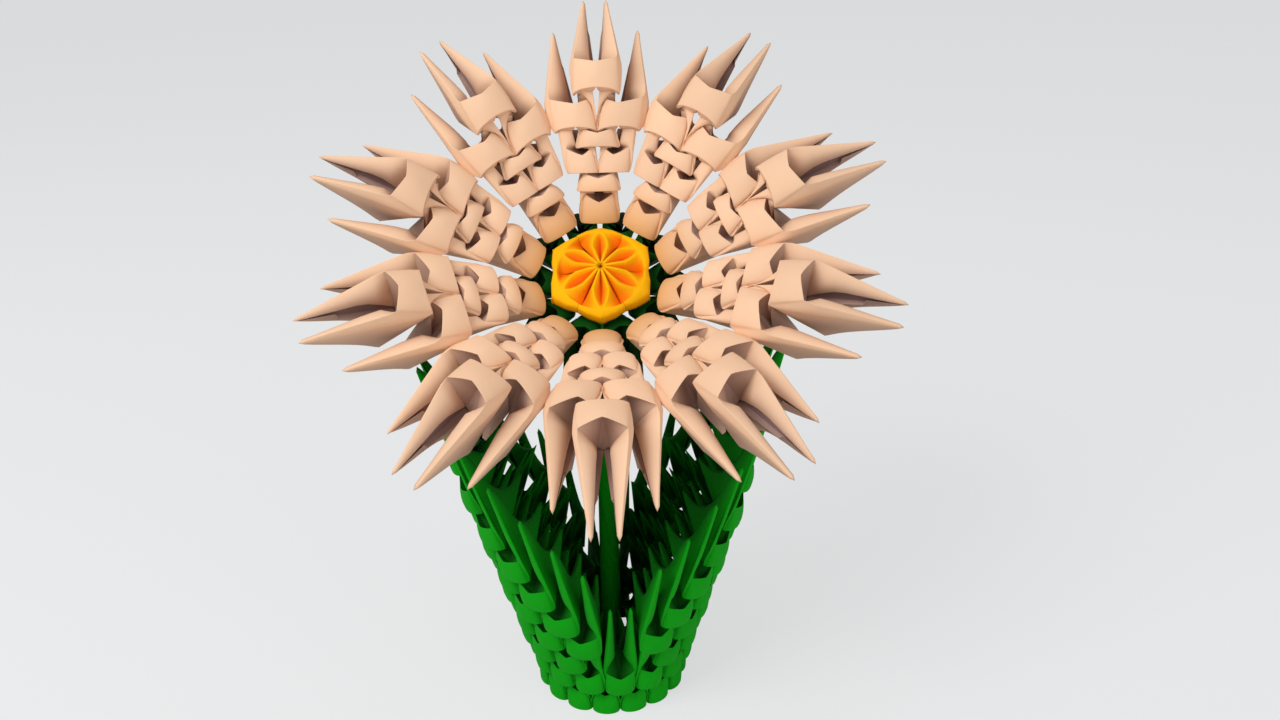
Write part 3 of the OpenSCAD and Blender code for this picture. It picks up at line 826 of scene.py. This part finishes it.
def matt_pale_paint():
    """Matt paint on a table top: plain and pale, and evened out to the eye by a glow of its own."""
    made = bpy.data.materials.new("table_top_matt_pale_paint")
    made.use_nodes = True
    tree = made.node_tree
    shader = tree.nodes["Principled BSDF"]
    shader.inputs["Base Color"].default_value = linear("#E2E3E4")
    shader.inputs["Roughness"].default_value = 0.9
    to_camera = node(tree, "LightPath").outputs["Is Camera Ray"]
    share = node(tree, "Math", {"operation": "MULTIPLY", 1: GLOW_SHARE}, {0: to_camera}).outputs[0]
    pale = node(tree, "Emission", {"Color": linear("#EEEFF0"), "Strength": 1.0}).outputs[0]
    both = node(tree, "MixShader", {}, {0: share, 1: shader.outputs[0], 2: pale}).outputs[0]
    tree.links.new(both, tree.nodes["Material Output"].inputs["Surface"])
    return made


table_mesh = bpy.data.meshes.new("table_top")
table_mesh.from_pydata([(x * TABLE_HALF, y * TABLE_HALF, 0) for x, y in TABLE_CORNERS], [], [(0, 1, 2, 3)])
table_mesh.materials.append(matt_pale_paint())
floor = bpy.data.objects.new("table_top", table_mesh)
bpy.context.scene.collection.objects.link(floor)


# Light, in metres and watts
AIM = (0, 0, 0.08)
ROOM_LIGHT = 0.42


def soft_light(name, at, size, watts):
    lamp = bpy.data.lights.new(name, "AREA")
    lamp.size, lamp.energy = size, watts
    made = bpy.data.objects.new(name, lamp)
    made.location = at
    made.rotation_euler = (Vector(AIM) - Vector(at)).to_track_quat("-Z", "Y").to_euler()
    bpy.context.scene.collection.objects.link(made)


def pale_room():
    world = bpy.data.worlds.new("studio")
    world.use_nodes = True
    air = world.node_tree
    for old in list(air.nodes):
        air.nodes.remove(old)
    ray = node(air, "LightPath").outputs["Is Camera Ray"]
    room = node(air, "Background", {"Color": (1, 1, 1, 1), "Strength": ROOM_LIGHT}).outputs[0]
    seen = node(air, "Background", {"Color": linear("#E8E9EA"), "Strength": 1.0}).outputs[0]
    both = node(air, "MixShader", {}, {0: ray, 1: room, 2: seen}).outputs[0]
    node(air, "OutputWorld", {}, {"Surface": both})
    return world


soft_light("key_light", at=(-0.45, -0.35, 0.65), size=0.45, watts=4.6)
soft_light("fill_light", at=(0.55, -0.5, 0.35), size=0.6, watts=1.6)
bpy.context.scene.world = pale_room()


# Camera: its place in millimetres, its angles in degrees, and its lens in pixels of the picture
IMAGE_W, FOCAL_PX, AXIS_PX = 1280, 1060.0, 613.0
CAMERA_AT = vec(2.55, -203.3, 172.6)
DOWN, AROUND, ROLL = 24.45, -0.12, -1.54
NEAREST, FURTHEST = 0.01, 20
sight = vec(sin_d(AROUND) * cos_d(DOWN), cos_d(AROUND) * cos_d(DOWN), -sin_d(DOWN))
level_right = vec(cos_d(AROUND), -sin_d(AROUND), 0)
level_up = np.cross(level_right, sight)
right = level_right * cos_d(ROLL) + level_up * sin_d(ROLL)
up = -level_right * sin_d(ROLL) + level_up * cos_d(ROLL)
camera_data = bpy.data.cameras.new("camera")
camera = bpy.data.objects.new("camera", camera_data)
bpy.context.scene.collection.objects.link(camera)
camera_axes = np.stack([right, up, -sight, CAMERA_AT * MM], 1).tolist()
camera.matrix_world = Matrix(camera_axes + [[0, 0, 0, 1]])
camera_data.lens = camera_data.sensor_width * FOCAL_PX / IMAGE_W
camera_data.shift_x = 0.5 - AXIS_PX / IMAGE_W
camera_data.clip_start, camera_data.clip_end = NEAREST, FURTHEST
bpy.context.scene.camera = camera
bpy.context.scene.view_settings.view_transform = "Standard"
